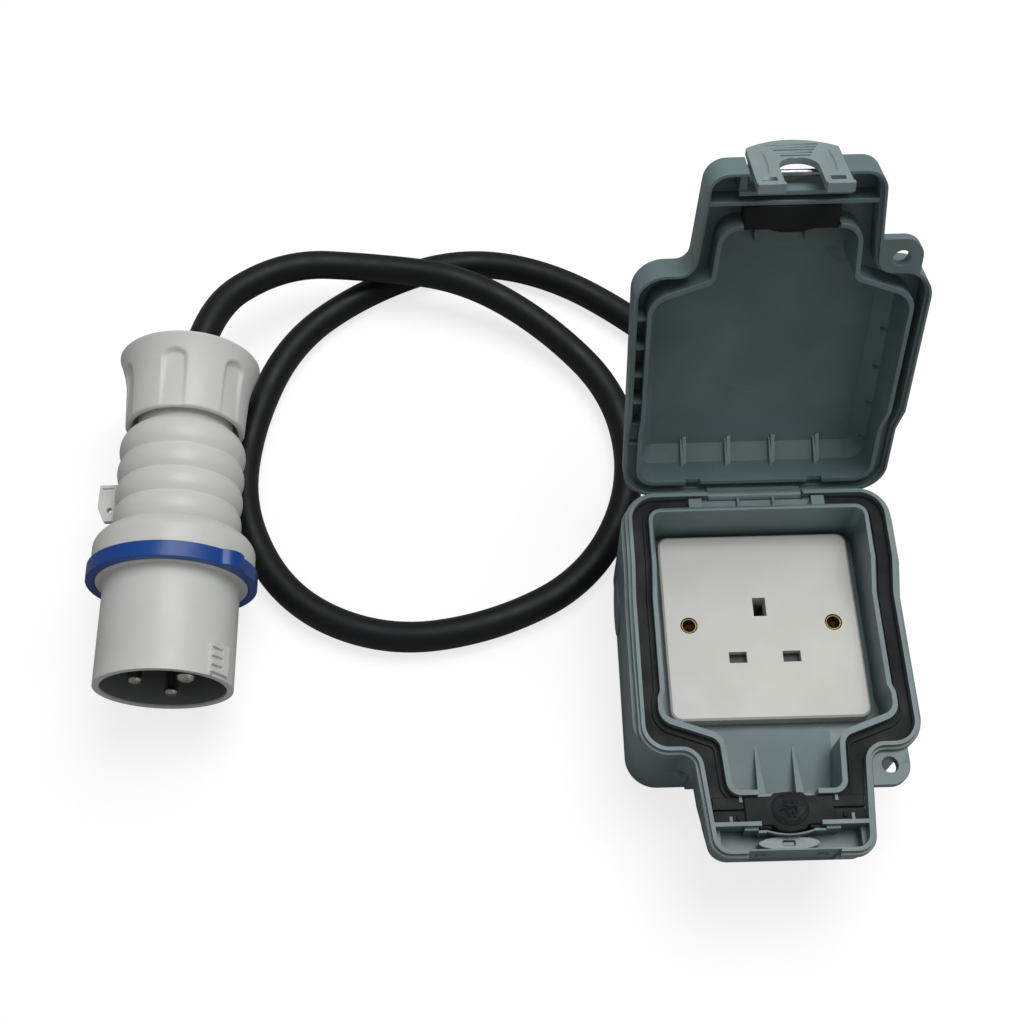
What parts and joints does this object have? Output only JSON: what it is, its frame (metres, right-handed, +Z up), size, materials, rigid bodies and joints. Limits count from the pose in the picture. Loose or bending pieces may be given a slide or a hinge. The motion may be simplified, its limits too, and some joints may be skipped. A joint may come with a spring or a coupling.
{
  "type": "weatherproof socket adapter lead",
  "caption": "Weatherproof box with a hinged latched lid over a flat-pin socket, on a short rubber cable ending in a round three-pin industrial plug.",
  "frame": {"origin": "centre of the back face of the enclosure, under the middle of the socket plate; the object lies on the table with the enclosure on its back", "axes": "+X to the right seen from the front of the socket, +Y towards the lid hinge and the cable gland, +Z up out of the socket plate"},
  "size_m": [0.3435, 0.3226, 0.2055],
  "materials": {
    "enclosure_grey": "fine satin moulding",
    "latch_grey": "satin moulding",
    "black_rubber": "matt",
    "keeper_clear": "clear grey moulding",
    "white_plate": "smooth moulded white",
    "white_moulding": "moulded white",
    "brass": "turned and pressed",
    "steel": "zinc plated",
    "gland_black": "moulded nylon",
    "cable_rubber": "smooth rubber sheath",
    "core_brown": "insulation",
    "core_blue": "insulation",
    "core_green": "insulation",
    "plug_grey": "satin moulding",
    "ring_blue": "satin moulding",
    "carrier_grey": "moulded",
    "nickel": "nickel plated brass"
  },
  "bodies": {
    "base": {"back_box": "enclosure_grey", "front_frame": "enclosure_grey", "frame_screws": "steel", "rim_gasket_left": "black_rubber", "rim_gasket_right": "black_rubber", "base_neck_seal": "black_rubber", "latch_keeper": "keeper_clear", "hinge_pins": "steel", "socket_plate": "white_plate", "socket_moulding": "white_moulding", "socket_rear_cover": "white_moulding", "line_contact": "brass", "neutral_contact": "brass", "earth_contact": "brass", "terminal_screws": "steel", "plate_screws": "brass", "gland_body": "gland_black", "gland_locknut": "gland_black", "gland_seal": "black_rubber", "gland_cap": "gland_black", "line_core": "core_brown", "neutral_core": "core_blue", "earth_core": "core_green", "cable": "cable_rubber", "plug_shroud": "plug_grey", "colour_ring": "ring_blue", "pin_carrier": "carrier_grey", "plug_line_pin": "nickel", "plug_neutral_pin": "nickel", "plug_earth_pin": "nickel", "plug_terminal_screws": "steel", "plug_body": "plug_grey", "plug_cable_nut": "plug_grey", "plug_seal": "black_rubber", "plug_cord_clamp": "carrier_grey", "plug_line_core": "core_brown", "plug_neutral_core": "core_blue", "plug_earth_core": "core_green"},
    "lid": {"lid_shell": "enclosure_grey", "lid_neck_seal": "black_rubber", "latch_pin": "steel"},
    "latch": {"latch": "latch_grey"},
    "shutter": {"shutter": "gland_black"}
  },
  "joints": [
    {"name": "lid_hinge", "type": "hinge", "parent": "base", "child": "lid", "pos_m": [0, 0.052, 0.0575], "axis": [1, 0, 0], "range_deg": [0, 111.5]},
    {"name": "latch_pivot", "type": "hinge", "parent": "lid", "child": "latch", "pos_m": [0, 0.10999, 0.19244], "axis": [-1, 0, 0], "range_deg": [0, 40]},
    {"name": "shutter_slide", "type": "slide", "parent": "base", "child": "shutter", "axis": [0, -1, 0], "range_m": [0, 0.0064], "stiffness_N_per_m": 150}
  ]
}
